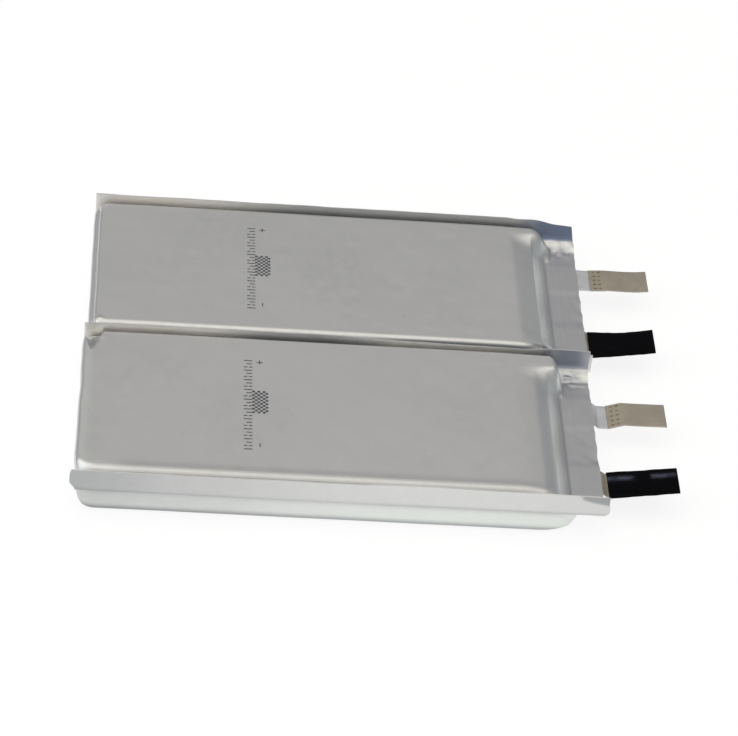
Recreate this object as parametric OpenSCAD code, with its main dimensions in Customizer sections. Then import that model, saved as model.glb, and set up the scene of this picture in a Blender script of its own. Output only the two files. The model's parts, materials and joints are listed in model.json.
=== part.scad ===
// Pair of lithium pouch cells lying side by side, tabs towards +X.
// Origin at the centre of the front cell's bottom face, millimetres, +Z up.
// Each cell is a double-cup laminate pouch, sealed at mid height, its side flanges folded up.

/* [Pouch] */
// Length from the folded end to the trimmed edge of the tab seal
cell_len = 140; // [110:1:200]
// Width across the two side folds
cell_w = 58.8; // [46:0.1:90]
// Thickness of the body from bottom face to top face
cell_t = 14.5; // [9:0.5:18]
// Thickness of the aluminium laminate
laminate_t = 0.12; // [0.1:0.01:0.16]
// Corner radius of the cups seen from above
corner_r = 3; // [2.5:0.5:7]
// Edge radius between the walls and the faces
edge_r = 2; // [1:0.25:2.5]
// Inward draft of the side walls from the seal to the face
wall_draft = 0.3; // [0.2:0.1:1]
// Flat strip left at the folded end
fold_strip = 0.5; // [0.5:0.25:3]
// Flat sealed strip at the tab end
seal_strip = 8; // [6:0.5:12]
// Length of the sloping shoulder at the tab end
shoulder_run = 6.5; // [4:0.5:9]

/* [Side flanges] */
// Straight height of a folded flange above its fold
flange_h = 8; // [4:0.5:10]
// Outward lean of a free flange, degrees
flange_lean = 8; // [2:1:18]
// Outward lean of the back cell's front flange, which the front cell presses upright, degrees
pressed_lean = 0; // [0:1:5]
// Straight height of that flange, which stays below the front cell's
pressed_h = 5.5; // [4:0.5:8]
// Reach of the front cell's front flange beyond the folded end
front_ear = 1.5; // [0:0.25:2.5]
// Inside radius of the fold
fold_r = 0.35; // [0.25:0.05:0.6]
// Flat land between a cup's foot and the fold
foot_land = 0.15; // [0.1:0.05:1]

/* [Tabs] */
// Width of both tabs
tab_w = 9.5; // [6:0.5:12]
// Thickness of both tabs
tab_t = 0.2; // [0.15:0.05:0.3]
// Length of a tab outside the seal
tab_out = 20.5; // [16:0.5:30]
// Distance of the positive tab's middle from the back fold
positive_edge = 16.4; // [12:0.1:20]
// Distance of the negative tab's middle from the front fold
negative_edge = 13.9; // [12:0.1:20]
// Thickness of one sealing film
film_t = 0.1; // [0.08:0.01:0.15]
// Sealing film beyond the tab on either side
film_margin = 1.5; // [1:0.25:2.5]
// Sealing film beyond the seal on the inside
film_in = 1; // [0.5:0.25:2]
// Sealing film beyond the trimmed edge
film_out = 0.1; // [0:0.05:0.1]
// Bend line's distance from the trimmed edge
bend_out = 0.35; // [0.35:0.05:1]
// Gap at the bend line between the fixed part of a tab and the rounded root of its bending part
bend_gap = 0.1; // [0.05:0.05:0.2]
// Length over which a tab drops outside the bend line
dip_run = 1.2; // [0.8:0.1:2]

/* [Nickel strip] */
// Bare length of the positive stub before the strip
stub_bare = 3.6; // [2.5:0.1:6]
// Overlap of the strip on the stub
strip_lap = 4.5; // [3.5:0.5:7]
// Thickness of the strip
strip_t = 0.2; // [0.1:0.05:0.3]
// Drop of the front cell's positive tab
front_dip = 1.2; // [0.1:0.1:2]
// Drop of the back cell's positive tab
back_dip = 0.1; // [0.1:0.1:2]
// Rise of the front cell's strip along the overlap
front_kink = 1.4; // [0.2:0.1:2]
// Rise of the back cell's strip along the overlap
back_kink = 0.4; // [0.2:0.1:2]
// Diameter of a weld spot
weld_d = 0.9; // [0.5:0.1:1.2]
// Height of a weld spot
weld_h = 0.06; // [0.04:0.01:0.1]
// Weld spots across the strip
weld_rows = 5; // [3:1:6]
// Distance of the two weld columns from the middle of the overlap, as a share of its length
weld_spread = 0.25; // [0.15:0.05:0.3]

/* [Sleeve] */
// Length of the insulating sleeve
sleeve_len = 17.7; // [12:0.1:26]
// Wall of the sleeve
sleeve_wall = 0.2; // [0.15:0.05:0.5]
// Clearance over the tab's edges
sleeve_edge_gap = 0.1; // [0.1:0.05:1]
// Clearance over the tab's faces
sleeve_face_gap = 0.15; // [0.15:0.05:0.6]
// Start of the front cell's sleeve on the straight part of its tab
front_sleeve = 1; // [0.1:0.1:4]
// Start of the back cell's sleeve on the straight part of its tab
back_sleeve = 0.1; // [0.1:0.1:4]
// Drop of the negative tabs
blade_dip = 1; // [0.2:0.1:2]
// Upward set of the front cell's negative tab, degrees
front_tilt = 9; // [0:1:15]
// Upward set of the back cell's negative tab, degrees
back_tilt = 8; // [0:1:15]

/* [Electrode stack] */
// Thickness of a coated cathode sheet
cathode_t = 0.2; // [0.15:0.01:0.4]
// Thickness of a coated anode sheet
anode_t = 0.17; // [0.13:0.01:0.35]
// Thickness of the separator web
separator_t = 0.03; // [0.02:0.01:0.05]
// Margin of web over anode and of anode over cathode
sheet_step = 0.6; // [0.4:0.1:1]
// Gap between the stack and the pouch
stack_gap = 0.1; // [0.05:0.05:0.5]
// Thickness of a bare collector foil
foil_t = 0.02; // [0.01:0.005:0.02]
// Spacing of the foils where they are gathered on a lead
foil_pitch = 0.025; // [0.024:0.001:0.03]
// Length over which the foils are gathered
foil_run = 5.5; // [4:0.5:8]
// Length of the foil weld on a lead
foil_weld = 4; // [3:0.5:5]
// Straight run of a foil before it bends towards the lead, and before it meets the lead
foil_straight = 0.4; // [0.2:0.1:0.8]
// Lug narrower than its tab on either side
lug_inset = 0.5; // [0.25:0.25:1]
// Free length of a lead between the foil weld and the seal
lead_free = 3; // [2:0.5:5]
// Thickness of the fixing tapes
tape_t = 0.1; // [0.05:0.01:0.12]
// Width of a stack tape
tape_w = 12; // [8:1:16]
// Length of a tape's leg on the stack's faces
tape_leg = 8; // [5:1:12]

/* [Pair] */
// Gap between the two cells, at the widest of each
pair_gap = 0.1; // [0.1:0.1:3]
// Shift of the back cell along X
pair_shift = 0.9; // [-5:0.1:5]

/* [Hidden] */
$fn = 48;
silver = [0.66, 0.65, 0.64];
nickel = [0.60, 0.56, 0.50];
aluminium = [0.76, 0.76, 0.78];
film_white = [0.90, 0.90, 0.86];
copper_dark = [0.20, 0.20, 0.21];
tape_amber = [0.78, 0.58, 0.20];
weld_brown = [0.58, 0.46, 0.26];
sleeve_black = [0.03, 0.03, 0.04];

// Seal plane and the layers around it
seal_z = cell_t / 2;
seal_t = tab_t + 2 * film_t;
land_z = seal_z + seal_t / 2 + laminate_t;
cup_h = cell_t - land_z;

// Side folds, as radii of the three layers about the fold's centre
fold_a = fold_r + laminate_t;
fold_b = fold_a + seal_t;
fold_c = fold_b + laminate_t;
fold_y = cell_w / 2 - fold_c;
fold_z = land_z + fold_r;

// Foot of the cups
edge_x = cell_len / 2;
foot_x0 = -edge_x + fold_strip;
foot_x1 = edge_x - seal_strip;
foot_y = fold_y - foot_land;

// Points of a ring: four corners of corner_steps points each
corner_steps = 7;
edge_steps = 4;
ring_n = 4 * corner_steps;
ring_count = edge_steps + 3;

// Tabs: places across the cell, bend line, fixed end and overlap
positive_y = cell_w / 2 - positive_edge;
negative_y = negative_edge - cell_w / 2;
bend_x = edge_x + bend_out;
lead_x1 = bend_x - tab_t / 2 - bend_gap;
lap_x = edge_x + stub_bare;
stub_z = seal_z - tab_t / 2;
lead_top = seal_z + tab_t / 2;
film_w = tab_w + 2 * film_margin;

// Stack space and sheet count
stack_space = cell_t - 2 * (laminate_t + tape_t + stack_gap);
pair_t = cathode_t + anode_t + 2 * separator_t;
end_t = anode_t + 2 * separator_t;
sheet_pairs = floor((stack_space - end_t) / pair_t);
stack_h = sheet_pairs * pair_t + end_t;
stack_z = seal_z - stack_h / 2;
last_web = 2 * sheet_pairs + 1;

// Leads and gathered foils
lead_x0 = foot_x1 - max(shoulder_run + foil_straight, foil_weld + lead_free);
gather_x = lead_x0 - foil_straight;
weld_x1 = lead_x0 + foil_weld;
lug_w = tab_w - 2 * lug_inset;

// Outline of the separator web
wall_inset = wall_point(0, wall_draft, 1)[0];
web_x0 = foot_x0 + wall_inset + stack_gap + tape_t;
web_x1 = lead_x0 - foil_run;
web_y = foot_y - wall_inset - stack_gap - tape_t;

// Each cell: place, lean, height and ear of its front flange, drop and rise of its positive tab,
// set of its negative tab, sleeve start
flange_reach = fold_y + fold_c * cos(flange_lean) + flange_h * sin(flange_lean);
pressed_reach = fold_y + fold_c * cos(pressed_lean) + pressed_h * sin(pressed_lean);
pair_pitch = flange_reach + max(pressed_reach, cell_w / 2) + pair_gap;
FRONT = [
    [0, 0, 0], flange_lean, flange_h, front_ear,
    front_dip, front_kink, front_tilt, front_sleeve
];
BACK = [
    [pair_shift, pair_pitch, 0], pressed_lean, pressed_h, 0,
    back_dip, back_kink, back_tilt, back_sleeve
];
function place(c) = c[0];
function front_lean(c) = c[1];
function front_h(c) = c[2];
function ear(c) = c[3];
function dip(c) = c[4];
function kink(c) = c[5];
function tilt(c) = c[6];
function sleeve_from(c) = c[7];

// Section of a cup wall: inset from the foot and height, at depth d below the outer surface
function wall_angle(run) = atan(run / cup_h);
function foot_point(d, run) = [d / cos(wall_angle(run)) - d * tan(wall_angle(run)), -d];
function wall_point(d, run, u) =
    let (a = wall_angle(run), p = a + u * (90 - a), h = cup_h - edge_r)
    [h * tan(a) + edge_r / cos(a) - (edge_r - d) * cos(p), h + (edge_r - d) * sin(p)];
function section_point(d, run, k) =
    k == 1 ? foot_point(d, run) : wall_point(d, run, (k - 2) / edge_steps);

// Points of ring k: ring 0 is the land's rectangle, ring 1 the foot, the last one the face
function end_run(q) = q == 0 || q == 3 ? shoulder_run : wall_draft;
function corner_at(q) = [
    q == 0 || q == 3 ? foot_x1 - corner_r - shoulder_run : foot_x0 + corner_r + wall_draft,
    (q < 2 ? 1 : -1) * (foot_y - corner_r - wall_draft)
];
function land_point(d, q, a) =
    let (m = max(abs(cos(a)), abs(sin(a))), c = corner_at(q))
    [
        c[0] + (edge_x - abs(c[0])) * cos(a) / m,
        c[1] + (fold_y - abs(c[1])) * sin(a) / m,
        -d
    ];
function cup_point(d, k, q, a) =
    let (px = section_point(d, end_run(q), k), py = section_point(d, wall_draft, k), c = corner_at(q))
    [
        c[0] + (corner_r + end_run(q) - px[0]) * cos(a),
        c[1] + (corner_r + wall_draft - py[0]) * sin(a),
        px[1] * pow(cos(a), 2) + py[1] * pow(sin(a), 2)
    ];
function ring(d, k) = [
    for (q = [0 : 3], j = [0 : corner_steps - 1])
        let (a = 90 * (q + j / (corner_steps - 1)))
        k == 0 ? land_point(d, q, a) : cup_point(d, k, q, a)
];

// Triangles between rings k and k + 1, counted from point s
function band(s, k, out) = [
    for (i = [0 : ring_n - 1])
        let (n = (i + 1) % ring_n, a = s + k * ring_n, b = a + ring_n)
        each out
            ? [[a + i, b + i, b + n], [a + i, b + n, a + n]]
            : [[a + i, b + n, b + i], [a + i, a + n, b + n]]
];
function rim(s) = [
    for (i = [0 : ring_n - 1])
        let (n = (i + 1) % ring_n)
        each [[i, n, s + n], [i, s + n, s + i]]
];

// Formed cup with its flat land, the land's outer surface at z = 0
module cup_shell() {
    s = ring_count * ring_n;
    top = s - ring_n;
    points = [
        for (d = [0, laminate_t], k = [0 : ring_count - 1])
            each ring(d, k)
    ];
    faces = concat(
        [for (k = [0 : ring_count - 2]) each band(0, k, true)],
        [for (k = [0 : ring_count - 2]) each band(s, k, false)],
        [[for (i = [ring_n - 1 : -1 : 0]) top + i]],
        [[for (i = [0 : ring_n - 1]) s + top + i]],
        rim(s)
    );
    polyhedron(points, faces);
}

// Section of one layer of a folded flange, about the fold's centre
module fold_section(r0, r1, lean, h) {
    far = 2 * r1;
    intersection() {
        difference() {
            circle(r1);
            circle(r0);
        }
        polygon([[0, 0], [0, -far], [far, -far], [far * cos(lean), -far * sin(lean)]]);
    }
    rotate(-lean)
        translate([r0, 0])
            square([r1 - r0, h]);
}

module side_fold(r0, r1, lean, h, over) {
    translate([-edge_x - over, 0, 0])
        rotate([90, 0, 90])
            linear_extrude(cell_len + over)
                translate([fold_y, fold_z])
                    fold_section(r0, r1, lean, h);
}

module side_folds(c, r0, r1) {
    side_fold(r0, r1, flange_lean, flange_h, 0);
    mirror([0, 1, 0])
        side_fold(r0, r1, front_lean(c), front_h(c), ear(c));
}

// Box from x0 to x1, centred on y, from z0 to z1
module slab(x0, x1, y, w, z0, z1) {
    translate([x0, y - w / 2, z0])
        cube([x1 - x0, w, z1 - z0]);
}

// Strip of width w along a path of [x, z] points on its lower face
module ribbon(path, t, w) {
    n = len(path) - 1;
    upper = [for (i = [n : -1 : 0]) path[i] + [0, t]];
    rotate([90, 0, 0])
        linear_extrude(w, center = true)
            polygon(concat(path, upper));
}

// Pouch
module pouch_upper(c) {
    color(silver)
        translate(place(c)) {
            translate([0, 0, land_z])
                cup_shell();
            side_folds(c, fold_r, fold_a);
        }
}

module pouch_lower(c) {
    color(silver)
        translate(place(c)) {
            translate([0, 0, cell_t - land_z])
                mirror([0, 0, 1])
                    cup_shell();
            side_folds(c, fold_b, fold_c);
        }
}

module heat_seal(c) {
    color(film_white)
        translate(place(c)) {
            difference() {
                translate([0, 0, seal_z - seal_t / 2])
                    linear_extrude(seal_t)
                        difference() {
                            square([cell_len, 2 * fold_y], center = true);
                            polygon([for (p = ring(0, 1)) [p[0], p[1]]]);
                        }
                for (y = [positive_y, negative_y]) {
                    film_pair(y);
                    slab(lead_x0, bend_x, y, tab_w, stub_z, lead_top);
                }
            }
            side_folds(c, fold_a, fold_b);
        }
}

// Tabs inside the seal
module film_pair(y) {
    film(y, lead_top);
    film(y, stub_z - film_t);
}

module film(y, z) {
    slab(foot_x1 - film_in, edge_x + film_out, y, film_w, z, z + film_t);
}

module lead(y) {
    slab(lead_x0, lead_x1, y, tab_w, stub_z, lead_top);
}

module positive_lead(c) {
    color(aluminium)
        translate(place(c))
            lead(positive_y);
}

module negative_lead(c) {
    color(nickel)
        translate(place(c))
            lead(negative_y);
}

module positive_film_upper(c) {
    color(film_white)
        translate(place(c))
            film(positive_y, lead_top);
}

module positive_film_lower(c) {
    color(film_white)
        translate(place(c))
            film(positive_y, stub_z - film_t);
}

module negative_film_upper(c) {
    color(film_white)
        translate(place(c))
            film(negative_y, lead_top);
}

module negative_film_lower(c) {
    color(film_white)
        translate(place(c))
            film(negative_y, stub_z - film_t);
}

// Electrode stack: web layer j lies under sheet j, anodes on even places and cathodes on odd ones
function web_z(j) = stack_z + j * separator_t + ceil(j / 2) * anode_t + floor(j / 2) * cathode_t;

// Coated sheet on web layer j, n-th of its kind, with its foil lug gathered on the lead at lug_y
module sheet(j, n, t, step, lug_y) {
    z = web_z(j) + separator_t;
    foil_z = z + (t - foil_t) / 2;
    weld_z = lead_top + n * foil_pitch;
    end_x = web_x1 - step;
    slab(web_x0 + step, end_x, 0, 2 * (web_y - step), z, z + t);
    translate([0, lug_y, 0])
        ribbon(
            [
                [end_x - step, foil_z],
                [web_x1 + foil_straight, foil_z],
                [gather_x, weld_z],
                [weld_x1, weld_z]
            ],
            foil_t, lug_w
        );
}

module cathode_sheets(c) {
    color(copper_dark)
        translate(place(c))
            for (i = [0 : sheet_pairs - 1])
                sheet(2 * i + 1, i, cathode_t, 2 * sheet_step, positive_y);
}

module anode_sheets(c) {
    color(copper_dark)
        translate(place(c))
            for (i = [0 : sheet_pairs])
                sheet(2 * i, i, anode_t, sheet_step, negative_y);
}

// Web folded to and fro: two chains of points, one along either face of the web
module separator(c) {
    s = separator_t;
    in_y = web_y - s;
    right = [
        for (j = [0 : last_web - 1])
            each j % 2 == 0
                ? [[web_y, web_z(j)], [web_y, web_z(j + 1) + s]]
                : [[-in_y, web_z(j) + s], [-in_y, web_z(j + 1)]]
    ];
    left = [
        for (j = [last_web - 1 : -1 : 0])
            each j % 2 == 0
                ? [[in_y, web_z(j + 1)], [in_y, web_z(j) + s]]
                : [[-web_y, web_z(j + 1) + s], [-web_y, web_z(j)]]
    ];
    ends = [[-web_y, web_z(last_web) + s], [-web_y, web_z(last_web)]];
    starts = [[-web_y, web_z(0) + s], [-web_y, web_z(0)]];
    color(film_white)
        translate(place(c))
            translate([web_x0, 0, 0])
                rotate([90, 0, 90])
                    linear_extrude(web_x1 - web_x0)
                        polygon(concat(right, ends, left, starts));
}

// Tape wound round the weld of n foils on a lead
module weld_tape(y, n) {
    z1 = lead_top + n * foil_pitch;
    x0 = lead_x0 + foil_straight;
    x1 = weld_x1 + foil_straight;
    color(tape_amber)
        difference() {
            slab(x0, x1, y, tab_w + 2 * tape_t, stub_z - tape_t, z1 + tape_t);
            slab(x0 - 1, x1 + 1, y, tab_w, stub_z, z1);
        }
}

module positive_weld_tape(c) {
    translate(place(c))
        weld_tape(positive_y, sheet_pairs);
}

module negative_weld_tape(c) {
    translate(place(c))
        weld_tape(negative_y, sheet_pairs + 1);
}

// Tape folded round an edge of the stack, the edge at 0 and the stack on its negative side
module edge_tape() {
    translate([0, tape_w / 2, 0])
        rotate([90, 0, 0])
            linear_extrude(tape_w)
                difference() {
                    translate([-tape_leg, stack_z - tape_t])
                        square([tape_leg + tape_t, stack_h + 2 * tape_t]);
                    translate([-tape_leg - 1, stack_z])
                        square([tape_leg + 1, stack_h]);
                }
}

// Two tapes along one long edge, at the quarter points
module side_tapes(angle) {
    mid = (web_x0 + web_x1) / 2;
    quarter = (web_x1 - web_x0) / 4;
    color(tape_amber)
        for (x = [mid - quarter, mid + quarter])
            translate([x, 0, 0])
                rotate(angle)
                    translate([web_y, 0, 0])
                        edge_tape();
}

module stack_tape_front(c) {
    translate(place(c))
        side_tapes(-90);
}

module stack_tape_back(c) {
    translate(place(c))
        side_tapes(90);
}

module stack_tape_end(c) {
    color(tape_amber)
        translate(place(c))
            translate([web_x0, 0, 0])
                rotate(180)
                    edge_tape();
}

// Tabs outside the seal, bent about the bend line
module root_round() {
    rotate([90, 0, 0])
        cylinder(d = tab_t, h = tab_w, center = true);
}

module positive_stub(c) {
    color(aluminium)
        translate(place(c) + [0, positive_y, 0]) {
            translate([bend_x, 0, seal_z])
                root_round();
            ribbon(
                [
                    [bend_x, stub_z],
                    [bend_x + dip_run, stub_z - dip(c)],
                    [lap_x, stub_z - dip(c)],
                    [lap_x + strip_lap, stub_z - dip(c) + kink(c)]
                ],
                tab_t, tab_w
            );
        }
}

module nickel_strip(c) {
    z = stub_z - dip(c) + tab_t;
    color(nickel)
        translate(place(c) + [0, positive_y, 0])
            ribbon(
                [
                    [lap_x, z],
                    [lap_x + strip_lap, z + kink(c)],
                    [edge_x + tab_out, z + kink(c)]
                ],
                strip_t, tab_w
            );
}

// Two columns of spots on the overlap, square to its slope
module strip_welds(c) {
    pitch = tab_w / weld_rows;
    z = stub_z - dip(c) + tab_t + strip_t;
    color(weld_brown)
        translate(place(c) + [0, positive_y, 0])
            for (u = [0.5 - weld_spread, 0.5 + weld_spread], r = [0 : weld_rows - 1])
                translate([lap_x + u * strip_lap, (r - (weld_rows - 1) / 2) * pitch, z + u * kink(c)])
                    rotate([0, -atan(kink(c) / strip_lap), 0])
                        cylinder(d = weld_d, h = weld_h);
}

// Frame of the negative tab's straight part, x along the tab
module on_blade(c) {
    translate(place(c) + [bend_x + dip_run, negative_y, seal_z - blade_dip])
        rotate([0, -tilt(c), 0])
            children();
}

module negative_blade(c) {
    reach = tab_out - bend_out - dip_run;
    rise = reach * tan(tilt(c));
    color(nickel)
        translate(place(c) + [bend_x, negative_y, seal_z]) {
            root_round();
            translate([0, 0, -tab_t / 2])
                ribbon(
                    [
                        [0, 0],
                        [dip_run, -blade_dip],
                        [dip_run + reach, rise - blade_dip]
                    ],
                    tab_t, tab_w
                );
        }
}

module flat_tube_section(w, h) {
    square([w - h, h], center = true);
    for (s = [-1, 1])
        translate([s * (w - h) / 2, 0])
            circle(d = h);
}

module insulating_sleeve(c) {
    bore_w = tab_w + 2 * sleeve_edge_gap;
    bore_h = tab_t + 2 * sleeve_face_gap;
    color(sleeve_black)
        on_blade(c)
            translate([sleeve_from(c), 0, 0])
                rotate([90, 0, 90])
                    linear_extrude(sleeve_len)
                        difference() {
                            flat_tube_section(bore_w + 2 * sleeve_wall, bore_h + 2 * sleeve_wall);
                            flat_tube_section(bore_w, bore_h);
                        }
}

PIECES = [
    "pouch_upper", "pouch_lower", "heat_seal",
    "positive_lead", "negative_lead",
    "positive_film_upper", "positive_film_lower", "negative_film_upper", "negative_film_lower",
    "cathode_sheets", "anode_sheets", "separator",
    "positive_weld_tape", "negative_weld_tape",
    "stack_tape_front", "stack_tape_back", "stack_tape_end",
    "positive_stub", "nickel_strip", "strip_welds",
    "negative_blade", "insulating_sleeve"
];

pouch_upper(FRONT);  // front_pouch_upper
pouch_lower(FRONT);  // front_pouch_lower
heat_seal(FRONT);  // front_heat_seal
positive_lead(FRONT);  // front_positive_lead
negative_lead(FRONT);  // front_negative_lead
positive_film_upper(FRONT);  // front_positive_film_upper
positive_film_lower(FRONT);  // front_positive_film_lower
negative_film_upper(FRONT);  // front_negative_film_upper
negative_film_lower(FRONT);  // front_negative_film_lower
cathode_sheets(FRONT);  // front_cathode_sheets
anode_sheets(FRONT);  // front_anode_sheets
separator(FRONT);  // front_separator
positive_weld_tape(FRONT);  // front_positive_weld_tape
negative_weld_tape(FRONT);  // front_negative_weld_tape
stack_tape_front(FRONT);  // front_stack_tape_front
stack_tape_back(FRONT);  // front_stack_tape_back
stack_tape_end(FRONT);  // front_stack_tape_end
positive_stub(FRONT);  // front_positive_stub
nickel_strip(FRONT);  // front_nickel_strip
strip_welds(FRONT);  // front_strip_welds
negative_blade(FRONT);  // front_negative_blade
insulating_sleeve(FRONT);  // front_insulating_sleeve

pouch_upper(BACK);  // back_pouch_upper
pouch_lower(BACK);  // back_pouch_lower
heat_seal(BACK);  // back_heat_seal
positive_lead(BACK);  // back_positive_lead
negative_lead(BACK);  // back_negative_lead
positive_film_upper(BACK);  // back_positive_film_upper
positive_film_lower(BACK);  // back_positive_film_lower
negative_film_upper(BACK);  // back_negative_film_upper
negative_film_lower(BACK);  // back_negative_film_lower
cathode_sheets(BACK);  // back_cathode_sheets
anode_sheets(BACK);  // back_anode_sheets
separator(BACK);  // back_separator
positive_weld_tape(BACK);  // back_positive_weld_tape
negative_weld_tape(BACK);  // back_negative_weld_tape
stack_tape_front(BACK);  // back_stack_tape_front
stack_tape_back(BACK);  // back_stack_tape_back
stack_tape_end(BACK);  // back_stack_tape_end
positive_stub(BACK);  // back_positive_stub
nickel_strip(BACK);  // back_nickel_strip
strip_welds(BACK);  // back_strip_welds
negative_blade(BACK);  // back_negative_blade
insulating_sleeve(BACK);  // back_insulating_sleeve
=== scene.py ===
import json
import math

import bpy
import numpy as np
from mathutils import Matrix


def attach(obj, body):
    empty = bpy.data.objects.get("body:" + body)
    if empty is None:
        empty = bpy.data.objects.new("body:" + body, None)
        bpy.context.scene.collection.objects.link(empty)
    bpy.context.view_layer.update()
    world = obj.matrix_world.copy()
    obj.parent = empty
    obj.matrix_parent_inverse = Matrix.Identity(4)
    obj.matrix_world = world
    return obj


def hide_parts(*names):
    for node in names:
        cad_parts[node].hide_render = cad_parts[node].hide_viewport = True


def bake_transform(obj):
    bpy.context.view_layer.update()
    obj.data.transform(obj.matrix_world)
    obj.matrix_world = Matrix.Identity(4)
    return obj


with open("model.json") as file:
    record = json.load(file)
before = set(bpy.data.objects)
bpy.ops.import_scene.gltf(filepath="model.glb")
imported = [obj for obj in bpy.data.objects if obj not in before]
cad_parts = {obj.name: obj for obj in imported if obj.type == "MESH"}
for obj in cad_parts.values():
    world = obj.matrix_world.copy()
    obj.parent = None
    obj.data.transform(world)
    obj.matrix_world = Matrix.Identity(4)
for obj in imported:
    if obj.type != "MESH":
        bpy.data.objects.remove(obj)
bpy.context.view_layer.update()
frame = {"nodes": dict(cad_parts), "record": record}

# Sizes of part.scad in millimetres, seen from the middle of a cell's bottom face
EDGE_X = 70.0
FOLD_Y = 28.41
LAND_Z = 7.57
CUP_H = 6.93
SHEET_T = 0.64
LAMINATE_T = 0.12
FOOT_X0, FOOT_X1, FOOT_Y = -69.8, 61.5, 28.26
CORNER_R, TAB_RX = 3.3, 9.8
SQUARE = 0.7
FLANGE_TOP, PRESSED_TOP = 8.5, 6.05
SEAL_Z = 7.25
FACE_RISE = 0.3
TOP_H = CUP_H + FACE_RISE
BEND_X = 70.35
BEND_SPAN = (70.02, 70.95)
LEAD_X0 = 54.6
TAB_W, TAB_T = 9.5, 0.2
POSITIVE_Y, NEGATIVE_Y = 13.0, -15.5
TAB_END = 90.5
CELLS = {"front": np.array([0.0, 0.0, 0.0]), "back": np.array([0.9, 60.00375, 0.0])}


def smooth(a, b, x):
    t = np.clip((x - a) / (b - a), 0, 1)
    return t * t * (3 - 2 * t)


def curve(xs, ys, width=5.0):
    """Function of x through the given points, its corners rounded over width."""
    fine = np.linspace(xs[0] - 20, xs[-1] + 20, 2400)
    half = max(1, int(width / (fine[1] - fine[0]) / 2))
    kernel = np.hanning(2 * half + 3)[1:-1]
    flat = np.pad(np.interp(fine, xs, ys), half, "edge")
    rounded = np.convolve(flat, kernel / kernel.sum(), "valid")
    return lambda x: np.interp(x, fine, rounded)


def ripple(x, seed, wave):
    """Smooth noise along one line, about -1 to 1."""
    rng = np.random.default_rng(seed)
    total = 0
    for k in range(4):
        step = wave / (1.0 + 0.7 * k) * rng.uniform(0.85, 1.15)
        total = total + np.sin(2 * np.pi * (x / step + rng.uniform())) / (1 + 0.6 * k)
    return total / 1.9


def ripple2(x, y, seed, wave):
    """Smooth noise over a plane, about -1 to 1."""
    rng = np.random.default_rng(seed)
    total = 0
    for k in range(7):
        a = rng.uniform(0, 2 * np.pi)
        step = wave * rng.uniform(0.6, 1.4)
        along = x * np.cos(a) + y * np.sin(a)
        total = total + np.sin(2 * np.pi * (along / step + rng.uniform()))
    return total / 3.2


def bell(x, y, cx, cy, rx, ry):
    return np.exp(-((x - cx) / rx) ** 2 - ((y - cy) / ry) ** 2)


def add_mesh(name, points, faces, body, nodes, slot, attributes=None):
    """Mesh object from millimetre points, riding on a body; given a joint's bodies and bend ends instead of a
    body's name, it only has its transform applied.
    """
    mesh = bpy.data.meshes.new(name)
    mesh.from_pydata((np.asarray(points) * 0.001).tolist(), [], faces)
    mesh.polygons.foreach_set("use_smooth", [True] * len(mesh.polygons))
    for key, values in (attributes or {}).items():
        layer = mesh.attributes.new(key, "FLOAT", "POINT")
        layer.data.foreach_set("value", np.asarray(values, np.float32))
    mesh.update()
    obj = bpy.data.objects.new(name, mesh)
    bpy.context.scene.collection.objects.link(obj)
    if isinstance(body, str):
        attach(obj, body)
    else:
        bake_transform(obj)
    if nodes:
        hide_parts(*nodes)
    obj.data.materials.append(MATERIALS[slot])
    return obj


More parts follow.
